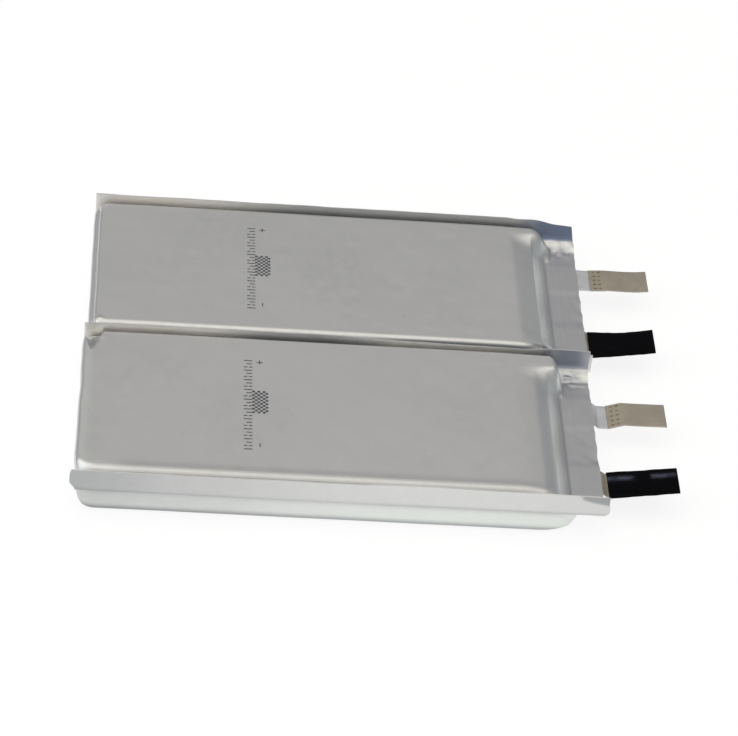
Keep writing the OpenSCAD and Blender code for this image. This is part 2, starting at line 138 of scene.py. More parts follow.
# Materials
class Shader:
    """Principled material whose inputs come from textures in millimetres."""

    def __init__(self, name, **sockets):
        self.material = bpy.data.materials.new(name)
        self.material.use_nodes = True
        self.tree = self.material.node_tree
        self.tree.nodes.clear()
        self.out = self.add("ShaderNodeOutputMaterial")
        self.bsdf = self.add("ShaderNodeBsdfPrincipled")
        self.link(self.bsdf.outputs[0], self.out.inputs["Surface"])
        self.place = self.add("ShaderNodeTexCoord").outputs["Object"]
        for key, value in sockets.items():
            self.bsdf.inputs[key.replace("_", " ")].default_value = value

    def add(self, kind):
        return self.tree.nodes.new(kind)

    def link(self, a, b):
        self.tree.links.new(a, b)

    def stretched(self, scale):
        node = self.add("ShaderNodeMapping")
        node.inputs["Scale"].default_value = [1000 * s for s in scale]
        self.link(self.place, node.inputs["Vector"])
        return node.outputs[0]

    def noise(self, size, stretch=(1, 1, 1), detail=4.0, rough=0.55, seed=0.0):
        node = self.add("ShaderNodeTexNoise")
        node.noise_dimensions = "4D"
        node.inputs["W"].default_value = seed
        node.inputs["Scale"].default_value = 1.0 / size
        node.inputs["Detail"].default_value = detail
        node.inputs["Roughness"].default_value = rough
        self.link(self.stretched(stretch), node.inputs["Vector"])
        return node.outputs[0]

    def attribute(self, name):
        node = self.add("ShaderNodeAttribute")
        node.attribute_name = name
        return node.outputs["Fac"]

    def spread(self, value, a, b, lo=0.0, hi=1.0):
        node = self.add("ShaderNodeMapRange")
        node.interpolation_type = "SMOOTHSTEP"
        for key, number in zip(("From Min", "From Max", "To Min", "To Max"), (a, b, lo, hi)):
            node.inputs[key].default_value = number
        self.link(value, node.inputs["Value"])
        return node.outputs[0]

    def math(self, kind, a, b):
        node = self.add("ShaderNodeMath")
        node.operation = kind
        for socket, value in zip(node.inputs, (a, b)):
            if isinstance(value, (int, float)):
                socket.default_value = value
            else:
                self.link(value, socket)
        return node.outputs[0]

    def mix(self, share, a, b):
        node = self.add("ShaderNodeMix")
        node.data_type = "RGBA"
        self.link(share, node.inputs[0])
        for socket, value in ((node.inputs[6], a), (node.inputs[7], b)):
            if isinstance(value, tuple):
                socket.default_value = (*value, 1)
            else:
                self.link(value, socket)
        return node.outputs[2]

    def bump(self, height, depth, below=None):
        node = self.add("ShaderNodeBump")
        node.inputs["Strength"].default_value = 1.0
        node.inputs["Distance"].default_value = depth * 0.001
        self.link(height, node.inputs["Height"])
        if below is not None:
            self.link(below, node.inputs["Normal"])
        return node.outputs[0]

    def finish(self, colour=None, rough=None, normal=None):
        for key, value in (("Base Color", colour), ("Roughness", rough), ("Normal", normal)):
            if value is not None:
                self.link(value, self.bsdf.inputs[key])
        return self.material


def laminate():
    s = Shader("laminate", Metallic=0.88, Coat_Weight=0.1, Coat_Roughness=0.3)
    cloud = s.noise(26, detail=3)
    mottle = s.noise(2.4, detail=6, rough=0.62, seed=3.0)
    grain = s.noise(0.35, stretch=(1, 0.6, 1), detail=3, seed=5.0)
    lines = s.noise(0.9, stretch=(0.03, 1, 1), detail=5, rough=0.7, seed=8.0)
    scuff = s.spread(lines, 0.62, 0.74)
    specks = s.spread(s.noise(1.5, detail=2, seed=11.0), 0.73, 0.78)
    colour = s.mix(s.spread(cloud, 0.3, 0.7), (0.705, 0.71, 0.697), (0.745, 0.75, 0.737))
    colour = s.mix(s.spread(mottle, 0.35, 0.7), colour, (0.725, 0.725, 0.715))
    colour = s.mix(s.math("MULTIPLY", scuff, 0.3), colour, (0.77, 0.77, 0.775))
    colour = s.mix(s.spread(s.attribute("sealed"), 0.0, 1.0, 0.0, 0.8), colour, (0.565, 0.57, 0.59))
    colour = s.mix(s.math("MULTIPLY", specks, 0.4), colour, (0.36, 0.355, 0.35))
    # rubbed wear, with painted highlights on folds, edges, the land's ridges and the cut edges
    colour = s.mix(s.spread(s.attribute("wear_and_highlight"), 0.0, 1.0, 0.0, 0.55), colour, (0.79, 0.78, 0.76))
    # painted highlight: floor reflection on the front walls, lit rims, the shoulder band and glints
    colour = s.mix(s.attribute("painted_highlight"), colour, (0.85, 0.885, 0.84))
    # painted light that lifts the shade inside the back flanges
    colour = s.mix(s.attribute("painted_light"), colour, (0.95, 0.92, 0.87))
    # painted shade: creases, gaps, the bottom rim, dimmed flanges and a dimmed front-edge highlight
    colour = s.mix(s.attribute("painted_shade"), colour, (0.29, 0.305, 0.31))
    # painted bluish shade: dark reflection on the flanges folded over at the tab end
    colour = s.mix(s.attribute("shade"), colour, (0.19, 0.235, 0.335))
    rough = s.math("ADD", s.spread(mottle, 0.3, 0.75, 0.37, 0.46), s.math("MULTIPLY", scuff, -0.05))
    normal = s.bump(grain, 0.006)
    normal = s.bump(mottle, 0.02, normal)
    normal = s.bump(lines, 0.006, normal)
    return s.finish(colour, rough, normal)


def seal_polymer():
    s = Shader("seal_polymer", IOR=1.5)
    cloud = s.noise(3, detail=4)
    fine = s.noise(0.3, detail=3, seed=2.0)
    colour = s.mix(s.spread(cloud, 0.3, 0.7), (0.62, 0.62, 0.58), (0.78, 0.78, 0.74))
    return s.finish(colour, s.spread(fine, 0.3, 0.7, 0.4, 0.6), s.bump(fine, 0.02))


def tab_aluminium():
    s = Shader("tab_aluminium", Metallic=0.55)
    cloud = s.noise(3.5, detail=4)
    rolled = s.noise(0.25, stretch=(0.06, 1, 1), detail=4, seed=4.0)
    dents = s.noise(1.3, detail=3, seed=6.0)
    colour = s.mix(s.spread(cloud, 0.3, 0.7), (0.66, 0.66, 0.685), (0.75, 0.75, 0.765))
    colour = s.mix(s.spread(dents, 0.62, 0.75, 0.0, 0.4), colour, (0.50, 0.50, 0.51))
    rough = s.spread(rolled, 0.3, 0.7, 0.36, 0.5)
    return s.finish(colour, rough, s.bump(dents, 0.05, s.bump(rolled, 0.01)))


def tab_nickel():
    s = Shader("tab_nickel", Metallic=0.55)
    cloud = s.noise(4.5, detail=4)
    rolled = s.noise(0.22, stretch=(0.05, 1, 1), detail=4, seed=4.0)
    stain = s.noise(1.6, detail=5, rough=0.6, seed=7.0)
    colour = s.mix(s.spread(cloud, 0.3, 0.7), (0.43, 0.38, 0.305), (0.49, 0.44, 0.36))
    colour = s.mix(s.spread(stain, 0.58, 0.75, 0.0, 0.35), colour, (0.35, 0.29, 0.215))
    colour = s.mix(s.spread(s.attribute("heat"), 0.05, 0.9, 0.0, 0.75), colour, (0.47, 0.33, 0.11))
    rough = s.spread(rolled, 0.3, 0.7, 0.42, 0.56)
    return s.finish(colour, rough, s.bump(stain, 0.02, s.bump(rolled, 0.008)))


def weld_spot():
    s = Shader("weld_spot", Metallic=0.6)
    blotch = s.noise(0.35, detail=4)
    colour = s.mix(s.spread(blotch, 0.3, 0.7), (0.12, 0.07, 0.02), (0.34, 0.21, 0.06))
    return s.finish(colour, s.spread(blotch, 0.3, 0.7, 0.3, 0.6), s.bump(blotch, 0.04))


def sleeve_black():
    s = Shader("sleeve_black", Specular_IOR_Level=0.04)
    crumple = s.noise(2.6, stretch=(0.5, 1, 1), detail=4, rough=0.6)
    fine = s.noise(0.3, detail=3, seed=3.0)
    dust = s.spread(s.noise(0.8, detail=4, seed=9.0), 0.66, 0.78)
    colour = s.mix(s.spread(fine, 0.3, 0.7), (0.0008, 0.0008, 0.0014), (0.0022, 0.0022, 0.0032))
    colour = s.mix(s.math("MULTIPLY", dust, 0.06), colour, (0.05, 0.05, 0.056))
    # painted bluish highlight streak along the front sleeve
    rubbed = s.math("MULTIPLY", s.attribute("rubbed"), s.spread(crumple, 0.36, 0.56))
    colour = s.mix(rubbed, colour, (0.075, 0.08, 0.115))
    rough = s.spread(crumple, 0.35, 0.65, 0.26, 0.42)
    return s.finish(colour, rough, s.bump(crumple, 0.1, s.bump(fine, 0.012)))


def powder(name, dark, light):
    s = Shader(name)
    cloud = s.noise(6, detail=4)
    fine = s.noise(0.12, detail=3, seed=2.0)
    colour = s.mix(s.spread(cloud, 0.3, 0.7), dark, light)
    return s.finish(colour, s.spread(fine, 0.3, 0.7, 0.7, 0.9), s.bump(fine, 0.01))


def amber_tape():
    s = Shader("amber_tape", IOR=1.5)
    cloud = s.noise(4, detail=3)
    wrinkle = s.noise(1.2, stretch=(1, 0.3, 1), detail=3, seed=3.0)
    colour = s.mix(s.spread(cloud, 0.3, 0.7), (0.50, 0.25, 0.04), (0.68, 0.38, 0.08))
    return s.finish(colour, s.spread(wrinkle, 0.3, 0.7, 0.15, 0.32), s.bump(wrinkle, 0.03))


def ink():
    s = Shader("ink")
    worn = s.noise(0.5, detail=4)
    colour = s.mix(s.spread(worn, 0.35, 0.68), (0.035, 0.035, 0.05), (0.11, 0.11, 0.13))
    return s.finish(colour, s.spread(worn, 0.3, 0.7, 0.5, 0.7), s.bump(worn, 0.004))


MATERIALS = {
    "laminate": laminate(),
    "seal_polymer": seal_polymer(),
    "tab_aluminium": tab_aluminium(),
    "tab_nickel": tab_nickel(),
    "weld_spot": weld_spot(),
    "cathode": powder("cathode", (0.022, 0.022, 0.026), (0.036, 0.036, 0.04)),
    "anode": powder("anode", (0.03, 0.027, 0.024), (0.05, 0.045, 0.04)),
    "separator_web": powder("separator_web", (0.78, 0.78, 0.76), (0.87, 0.87, 0.85)),
    "amber_tape": amber_tape(),
    "sleeve_black": sleeve_black(),
}
INK = ink()

slots = {part["node"]: part["material_slot"] for part in frame["record"]["subparts"]}
for name, obj in frame["nodes"].items():
    obj.data.materials.clear()
    obj.data.materials.append(MATERIALS[slots[name]])


# Pouch sheets: a flat pattern of land, cup and two flanges, folded along its long edges
def spaced(line, count=41):
    """Points along a line, closer together where it turns."""
    step = np.diff(line, axis=0)
    run = np.linalg.norm(step, axis=1)
    turn = np.abs(np.diff(np.unwrap(np.arctan2(step[:, 1], step[:, 0])), prepend=0))
    turn[0] = 0
    along = np.r_[0, np.cumsum(run / run.sum() + turn / turn.sum())]
    at = np.linspace(0, along[-1], count)
    return np.stack([np.interp(at, along, line[:, k]) for k in (0, 1)], 1)


def bent(parts, height):
    """Inset and height of a wall from its foot to its face, from parts of (length, first and last angle);
    an angle over 90 degrees hangs outward. All lengths are scaled to reach the height."""
    run = np.concatenate([np.full(300, length / 300) for length, a, b in parts])
    turn = np.radians(np.concatenate([np.linspace(a, b, 300) for length, a, b in parts]))
    run *= height / (run * np.sin(turn)).sum()
    line = np.cumsum(np.stack([run * np.cos(turn), run * np.sin(turn)], 1), 0)
    return spaced(np.concatenate([[[0, 0]], line]))


def profile(foot_r, low, high, edge_r, height):
    """Wall between a rounded foot and a rounded edge."""
    angle = np.radians([low, high])
    curved = foot_r * (1 - np.cos(angle[0])) + edge_r * (1 - np.cos(angle[1]))
    straight = (height - curved) / np.sin(np.linspace(*angle, 50)).mean()
    return bent([(foot_r * angle[0], 0, low), (straight, low, high), (edge_r * angle[1], high, 0)], height)


def outline(points):
    """Wall along a rounded line through the given points."""
    points = np.array(points, float)
    run = np.r_[0, np.cumsum(np.linalg.norm(np.diff(points, axis=0), axis=1))]
    fine = np.linspace(0, run[-1], 1201)
    line = np.stack([np.interp(fine, run, points[:, k]) for k in (0, 1)], 1)
    half = int(1201 * 0.3 / run[-1])
    kernel = np.hanning(2 * half + 3)[1:-1]
    line = np.concatenate([2 * line[0] - line[half:0:-1], line, 2 * line[-1] - line[-2:-half - 2:-1]])
    line = np.stack([np.convolve(line[:, k], kernel / kernel.sum(), "valid") for k in (0, 1)], 1)
    line[0], line[-1] = points[0], points[-1]
    return spaced(line)


class Pattern:
    """Points of the flat pattern: x, y, cup height, and the faces between them."""

    def __init__(self, fine, sections=None, end_x=FOOT_X1, fold_rx=CORNER_R, tab_rx=TAB_RX,
                 side_r=CORNER_R, square=SQUARE, scoop=None, land_rows=12):
        self.arcs = [int(n * fine) for n in (8, 28, 10)]
        self.long, self.short = int(230 * fine), int(84 * fine)
        self.nx = self.arcs[0] + self.long + self.arcs[1]
        self.ny = self.short + 2 * self.arcs[2]
        self.n = 2 * (self.nx + self.ny)
        self.fold_rx, self.tab_rx, self.side_r = fold_rx, tab_rx, side_r
        self.square = square
        cx = (FOOT_X0 + fold_rx, end_x - tab_rx)
        cy = FOOT_Y - side_r
        self.centres = np.array([[cx[0], -cy], [cx[1], -cy], [cx[1], cy], [cx[0], cy]])
        self.loops()
        foot = self.ring(None, 0)
        rows = [self.border + t * (foot[:, :2] - self.border) for t in np.linspace(0, 1, land_rows + 1)]
        self.rings = [np.c_[row, np.zeros(self.n)] for row in rows]
        if sections:
            self.rings += [self.ring(sections, k) for k in range(1, len(sections[0]))]
        self.points = list(np.concatenate(self.rings))
        self.faces = []
        for r in range(len(self.rings) - 1):
            a, b = r * self.n, (r + 1) * self.n
            for j in range(self.n):
                i = (j + 1) % self.n
                self.faces.append((a + j, a + i, b + i, b + j))
        if sections:
            self.face()
        if scoop is not None:
            self.sink(end_x, sections[2], *scoop)

    def loops(self):
        fold, tab, end = self.arcs
        edges = (
            (0, 1, 225, 270, 315, fold, self.long, tab),
            (1, 2, 315, 360, 405, end, self.short, end),
            (2, 3, 45, 90, 135, tab, self.long, fold),
            (3, 0, 135, 180, 225, end, self.short, end),
        )
        corner = np.array([[-1, -1], [1, -1], [1, 1], [-1, 1]]) * [EDGE_X, FOLD_Y]
        spans, border = [], []
        for a, b, a0, a1, a2, n0, n1, n2 in edges:
            for k in range(n0):
                spans.append((a, a, a0 + (a1 - a0) * k / n0, 0))
            for k in range(n1):
                spans.append((a, b, a1, k / n1))
            for k in range(n2):
                spans.append((b, b, a1 + (a2 - a1) * k / n2, 0))
            axis = 0 if a1 % 180 == 90 else 1
            stops = [corner[a].copy(), corner[a].copy(), corner[b].copy(), corner[b].copy()]
            stops[1][axis] = self.centres[a][axis]
            stops[2][axis] = self.centres[b][axis]
            for p, q, n in zip(stops[:-1], stops[1:], (n0, n1, n2)):
                border += [p + (q - p) * k / n for k in range(n)]
        self.spans = spans
        self.border = np.array(border)

    def ring(self, sections, k):
        starts = np.array([s[0] for s in self.spans])
        ends = np.array([s[1] for s in self.spans])
        turn = np.radians([s[2] for s in self.spans])
        share = np.array([s[3] for s in self.spans])[:, None]

        def corner_points(q):
            tab_end, rear = (q == 1) | (q == 2), q >= 2
            rx = np.where(tab_end, self.tab_rx, self.fold_rx)
            ry = self.side_r
            hx = hy = 0
            if sections:
                front, back, tab, fold = (section[k] for section in sections)
                rx = rx - np.where(tab_end, tab[0], fold[0])
                ry = ry - np.where(rear, back[0], front[0])
                hx, hy = np.where(tab_end, tab[1], fold[1]), np.where(rear, back[1], front[1])
            cos, sin = np.cos(turn), np.sin(turn)
            power = np.where(tab_end, self.square, SQUARE)
            x = self.centres[q, 0] + rx * np.sign(cos) * np.abs(cos) ** power
            y = self.centres[q, 1] + ry * np.sign(sin) * np.abs(sin) ** power
            return np.stack([x, y, hx * np.cos(turn) ** 2 + hy * np.sin(turn) ** 2], 1)

        return corner_points(starts) * (1 - share) + corner_points(ends) * share

    def sink(self, end_x, steep, soft, front):
        """Lower the tab-end shoulder to a softer section, fully in its middle and not at its back corner."""
        x, y, h = np.array(self.points).T
        ratio = np.interp(end_x - x, *soft.T) / np.maximum(np.interp(end_x - x, *steep.T), 1e-3)
        middle = smooth(FOOT_Y - self.side_r, FOOT_Y - self.side_r - 5.0, y)
        middle = middle * (1 - (1 - front) * smooth(-19.0, -25.5, y))
        h = np.where(h > 0, np.maximum(h * (1 + middle * (np.clip(ratio, 0, 1) - 1)), 1e-4), 0)
        self.points = list(np.stack([x, y, h], 1))

    def face(self):
        """Top face as a patch between the four sides of the last ring."""
        nx, ny, n = self.nx, self.ny, self.n
        last = self.rings[-1]
        base = (len(self.rings) - 1) * n
        index = np.zeros((nx + 1, ny + 1), int)
        i, m = np.arange(nx + 1), np.arange(ny + 1)
        index[i, 0] = i
        index[nx, m] = nx + m
        index[i, ny] = 2 * nx + ny - i
        index[0, m] = (n - m) % n
        front, back = last[index[:, 0]], last[index[:, ny]]
        left, right = last[index[0]], last[index[nx]]
        u = (i / nx)[:, None, None]
        v = (m / ny)[None, :, None]
        patch = (1 - v) * front[:, None] + v * back[:, None] + (1 - u) * left[None] + u * right[None]
        patch -= (1 - u) * (1 - v) * front[0] + u * (1 - v) * front[-1]
        patch -= (1 - u) * v * back[0] + u * v * back[-1]
        index += base
        start = len(self.points)
        inner = patch[1:-1, 1:-1].reshape(-1, 3)
        index[1:-1, 1:-1] = start + np.arange(len(inner)).reshape(nx - 1, ny - 1)
        self.points += list(inner)
        for a in range(nx):
            for b in range(ny):
                self.faces.append((index[a, b], index[a + 1, b], index[a + 1, b + 1], index[a, b + 1]))

    def flanges(self, tops):
        """Two flanges along the long edges; tops are their developed heights, front and back."""
        edges = {-1: np.arange(self.nx + 1), 1: 2 * self.nx + self.ny - np.arange(self.nx + 1)}
        self.rim = {}
        for side, top in zip((-1, 1), tops):
            steps = np.concatenate([[0.08, 0.16, 0.25, 0.34, 0.43, 0.52, 0.65, 0.85, 1.1],
                                    np.linspace(1.5, top, 15)])
            rows = [edges[side]]
            for s in steps:
                start = len(self.points)
                x = self.border[edges[side], 0]
                self.points += list(np.stack([x, np.full_like(x, side * (FOLD_Y + s)), 0 * x], 1))
                rows.append(start + np.arange(self.nx + 1))
            for low, high in zip(rows[:-1], rows[1:]):
                for k in range(self.nx):
                    quad = (low[k], low[k + 1], high[k + 1], high[k])
                    self.faces.append(quad if side > 0 else quad[::-1])
            self.rim[side] = np.array(rows)
        nx, ny = self.nx, self.ny
        front, back = self.rim[-1], self.rim[1]
        right = nx + np.arange(1, ny)
        left = 2 * nx + ny + np.arange(1, ny)
        self.outline = np.concatenate([
            front[-1, :-1], front[:0:-1, -1], [nx], right, back[:-1, -1],
            back[-1, :0:-1], back[:0:-1, 0], [2 * nx + ny], left, front[:-1, 0],
        ])


class Fold:
    """Flange folded up from the land. Its slope is given at distances from the fold line, once along the
    cell and once at the tab end, and the section follows by adding up the slope."""

    S0, S1, STEP = -9.0, 10.0, 0.04

    def __init__(self, along, at_tab=None, reach=None, ear=0.0, slant=0.0, seed=0, wave=0.8):
        self.x = np.linspace(-73, 73, 293)
        self.s = np.arange(self.S0, self.S1, self.STEP)
        share = smooth(51.0, 64.0, self.x)[:, None]
        slope = np.interp(self.s, *zip(*along))[None] * (1 - share)
        slope = slope + np.interp(self.s, *zip(*(at_tab or along)))[None] * share
        slope = slope - wave * ripple(self.x, seed, 27)[:, None] * np.clip(self.s, 0, 1)[None]
        self.slope = np.radians(slope)
        self.y = self.S0 + np.cumsum(np.cos(self.slope), 1) * self.STEP
        self.z = np.cumsum(np.sin(self.slope), 1) * self.STEP
        self.reach = curve(*zip(*(reach or [(-72, 1.0), (72, 1.0)])))
        self.ear, self.slant, self.seed = ear, slant, seed

    def look(self, table, x, s):
        i = np.clip((x - self.x[0]) / (self.x[1] - self.x[0]), 0, len(self.x) - 1.001)
        j = np.clip((s - self.S0) / self.STEP, 0, len(self.s) - 1.001)
        a, b = i.astype(int), j.astype(int)
        u, v = i - a, j - b
        low = table[a, b] * (1 - v) + table[a, b + 1] * v
        high = table[a + 1, b] * (1 - v) + table[a + 1, b + 1] * v
        return low * (1 - u) + high * u

    def bend(self, x, s, d):
        """Place of a point s beyond the fold line, d below the upper surface: shift in x, then y and z."""
        lift = np.clip(s / FLANGE_TOP, 0, 1)
        far = np.where(s > 0, s * self.reach(x), s)
        turn = self.look(self.slope, x, far)
        y = np.where(far < self.S0, far, self.look(self.y, x, far))
        z = np.where(far < self.S0, 0, self.look(self.z, x, far))
        y = y + d * np.sin(turn) + 0.05 * lift ** 2 * ripple(x, self.seed + 1, 24)
        z = z - d * np.cos(turn) + 0.05 * lift * ripple(x, self.seed + 2, 31)
        shift = -self.ear * smooth(-58, -70, x) * smooth(0.2, 3.6, s) * smooth(12.5, 6.0, s)
        shift = shift - self.slant * smooth(58, 70, x) * lift
        swell = 0.7 * np.exp(-((far - 2.2) / 2.4) ** 2)
        rounding = 0.75 * np.exp(-((far - 0.1) / 0.7) ** 2)
        shift = shift + smooth(66, 70, x) * (self.ear > 0) * (swell - rounding)
        return shift, y, z


LEANING = [(0.0, 0.0), (0.5, 82.0)]
FOLDS = {
    "front": {
        -1: Fold(LEANING, [(0.0, 0.0), (0.5, 79.0)], ear=1.4, seed=10, wave=0.35,
                 reach=[(-72, 0.93), (-40, 0.90), (4, 0.905), (17, 0.965), (25, 0.965),
                        (40, 0.925), (50, 0.925), (60, 0.955), (66, 0.95), (72, 0.93)]),
        1: Fold(LEANING, [(-3.2, 0.0), (-2.5, 23.0), (1.3, 29.0), (2.4, 91.0)], seed=20, wave=0.4,
                reach=[(-72, 1.0), (-50, 1.03), (0, 1.03), (16, 0.96),
                       (45, 0.92), (58, 0.90), (66, 0.885), (72, 0.87)]),
    },
    "back": {
        -1: Fold([(0.0, 0.0), (0.5, 90.0)], seed=30, wave=0.15),
        1: Fold([(0.0, 0.0), (0.5, 84.5)], [(-3.3, 0.0), (-2.6, 20.0), (1.2, 28.0), (2.3, 70.0)], seed=40,
                slant=0.9, wave=0.4, reach=[(-72, 1.01), (50, 1.01), (57, 0.87), (64, 0.68), (72, 0.61)]),
    },
}
TOPS = {"front": (FLANGE_TOP, FLANGE_TOP), "back": (PRESSED_TOP, FLANGE_TOP)}
SEEDS = {"front": 100, "back": 200}
BULGE = {"front": 0.3, "back": 0.12}
CRUMPLE = {"front": 0.10, "back": 0.17}


def face_relief(cell, x, y):
    """Height of the upper face over its plane."""
    seed = SEEDS[cell]
    z = 0.045 * ripple2(x, y, seed, 38) + 0.012 * ripple2(x, y, seed + 1, 11)
    z -= 0.06 * smooth(-54.5, -58, x) + 0.05 * smooth(-61, -64, x)
    z -= 0.22 * smooth(44, 57, x)
    return z


def dog_ear(x, y):
    """Triangle pressed into the front cell's corner: its share and the distance from its tip."""
    v = y - 20.6
    width = 0.25 + 0.27 * np.clip(v, 0, 7)
    return smooth(1.25, 0.75, np.abs(x + 67.7 - 0.05 * v) / width) * (v > 0), np.clip(v, 0, 5.5)


def corner_relief(cell, x, y):
    """Crushed corners of the folded end."""
    near = smooth(-50, -58, x)
    if cell == "back":
        q = (x + 70.0) + (28.3 - y)
        z = -0.8 * smooth(4.6, 1.4, q) + 0.12 * np.exp(-(((q - 4.9) / 0.55) ** 2))
        q = (x + 70.0) + (y + 28.3)
        return near * (z + 0.22 * bell(x, y, -66.9, -25.9, 0.7, 0.6) - 0.5 * smooth(3.4, 0.8, q))
    ear, v = dog_ear(x, y)
    deep = 0.62 + 1.3 * np.maximum(smooth(-67.3, -68.2, x), smooth(26.0, 27.0, y))
    pit = -np.minimum(0.33 * ear * v, deep)
    ridge = 0.32 * bell(x, y, -65.9, 26.0, 1.0, 0.75)
    q = 0.62 * (x + 70.2) + y + 28.9
    return near * (pit + ridge - 1.7 * smooth(4.9, 0.0, q))


def land_relief(x, y):
    """Outward height of the sealed sheet over its plane, both ways alike."""
    tabs = sum(smooth(8.6, 5.2, np.abs(y - c)) for c in (POSITIVE_Y, NEGATIVE_Y))
    ridges = 0.07 * np.exp(-((x - 63.9) / 0.45) ** 2) + 0.035 * np.exp(-((x - 65.9) / 0.4) ** 2)
    sealed = smooth(63.1, 63.9, x)
    return -0.15 + 0.14 * tabs * smooth(60.5, 63, x) - 0.02 * sealed + ridges * smooth(27, 24, np.abs(y))


def land_wave(cell, x, y):
    """Shared rise of all layers of the land at the tab end."""
    seed = SEEDS[cell] + 20
    clear = 1 - sum(smooth(9.0, 6.8, np.abs(y - c)) for c in (POSITIVE_Y, NEGATIVE_Y))
    end = smooth(62.5, 68, x) * smooth(27.5, 24, np.abs(y)) * clear
    z = 0.16 * end * ripple(y, seed, 19) * smooth(69, 70.1, x + 0.9)
    z = z + 0.05 * end * ripple2(x, y, seed + 1, 6)
    fold = smooth(22.0, 24.5, y) * smooth(31.5, 29.0, y) * smooth(59, 63, x)
    z = z + CRUMPLE[cell] * fold * ripple2(x, y, seed + 2, 3.4)
    if cell == "front":
        z = z + 0.55 * bell(x, y, 64.4, 26.9, 0.8, 0.7) - 0.35 * bell(x, y, 63.0, 26.2, 0.7, 0.8)
        z = z + 0.3 * bell(x, y, 66.4, 24.6, 1.3, 0.6)
    return z


def edge_wave(cell, y):
    """Uneven trim of the tab end."""
    seed = SEEDS[cell] + 30
    return 0.15 + 0.12 * ripple(y, seed, 17) + 0.08 * ripple(y, seed + 1, 6)


def folded(cell, flat, depth, up):
    """Pattern points at a depth below the upper surface, folded into place; up is 1 or -1 for the cups."""
    x, yd, h = flat.T
    side = np.where(yd < 0, -1, 1)
    s = np.abs(yd) - FOLD_Y
    share = h / (TOP_H if up > 0 else CUP_H)
    low = 1 - smooth(0.0, 0.5, share)
    relief = land_relief(x, yd) * low
    d = depth - up * relief
    sx, fy, fz = np.zeros_like(x), np.zeros_like(x), np.zeros_like(x)
    for sign in (-1, 1):
        pick = side == sign
        sx[pick], fy[pick], fz[pick] = FOLDS[cell][sign].bend(x[pick], s[pick], d[pick])
    flat_z = -d
    y = side * (FOLD_Y + s + (fy - s) * np.where(h > 0, low, 1))
    z = LAND_Z + flat_z + (fz - flat_z) * np.where(h > 0, low, 1)
    trim = edge_wave(cell, np.clip(yd, -FOLD_Y, FOLD_Y)) * smooth(63, 70, x)
    z = z + land_wave(cell, x, yd) * low + up * h
    top = smooth(0.55, 1.0, share)
    if up > 0:
        z = z + top * (face_relief(cell, x, yd) + corner_relief(cell, x, yd))
    else:
        z = z + top * (0.04 + 0.03 * ripple2(x, yd, SEEDS[cell] + 5, 30))
    bulge = BULGE[cell] * smooth(-63, -69, x) * smooth(-27, -20, yd) * smooth(27, 20, yd)
    bulge = bulge * (0.6 + 0.8 * ripple(yd, SEEDS[cell] + 40, 41)) * np.where(h > 0, 1, 0)
    return np.stack([x + sx + trim - bulge, y, z], 1) + CELLS[cell]


def wear_and_highlight_of(flat):
    """Brighter laminate along folds, edges and trims: rubbed wear, and painted highlights on the folds, the
    top edges, the two ridges of the land and the trim.
    """
    x, yd, h = flat.T
    s = np.abs(yd) - FOLD_Y
    share = h / TOP_H
    fold = np.exp(-((s - 0.25) / 0.35) ** 2) * (h == 0)
    edge = np.exp(-((share - 0.93) / 0.07) ** 2)
    trim = smooth(0.5, 0.1, np.abs(EDGE_X - np.abs(x))) * (h == 0)
    bars = np.exp(-((x - 64.1) / 0.5) ** 2) + 0.5 * np.exp(-((x - 66.2) / 0.4) ** 2)
    bars = bars * (h < 0.3) * smooth(27, 23, np.abs(yd)) * smooth(58, 62, x)
    uneven = 0.55 + 0.45 * ripple2(x, yd, 77, 13)
    return np.clip((0.7 * fold + 0.35 * edge + 0.6 * trim + 0.5 * bars) * uneven, 0, 1)


def sealed_of(flat):
    """Pressed land of the tab seal."""
    x, yd, h = flat.T
    return smooth(59.0, 62.0, x) * smooth(28.4, 26.5, np.abs(yd)) * (h < 0.5)


# How strong each painted light and shade tone is along the cell, and where the tab-end tones lie
HIGHLIGHT_ALONG = curve([-72, -50, -30, -10, 10, 72], [0.25, 0.4, 0.5, 0.8, 1.0, 1.0])
SHADE_ALONG_FLANGE = curve([-72, -32, -18, -5, 6, 15, 72], [0, 0, 0.5, 0.55, 0.25, 0, 0])
LIGHT_ALONG = {"front": curve([-72, -38, -28, -20, 5, 16, 40, 52, 72], [1, 1, 0.4, 0, 0, 0.8, 0.8, 0, 0]),
        "back": curve([-72, -45, -15, 72], [1, 1, 0, 0])}
CORNER = curve([60.0, 62.3, 63.5, 66.0, 70.0], [9.6, 8.7, 6.7, 5.9, 4.9], 1.0)
SHADE_ALONG_FRONT = curve([-72, -60, -45, -20, 0, 25, 45, 72], [0.58, 0.49, 0.27, 0.13, 0.06, 0.01, 0.01, 0.05])
GLINT = {"front": (69.4, -1.0), "back": (70.0, -1.6)}
SHADE = {"front": (55, 1.2, 2.2, 0.5), "back": (52, 0.9, 1.9, 0.95)}
# cut edges: rubbed wear with a painted glint
CUT_WEAR_AND_GLINT = 0.5


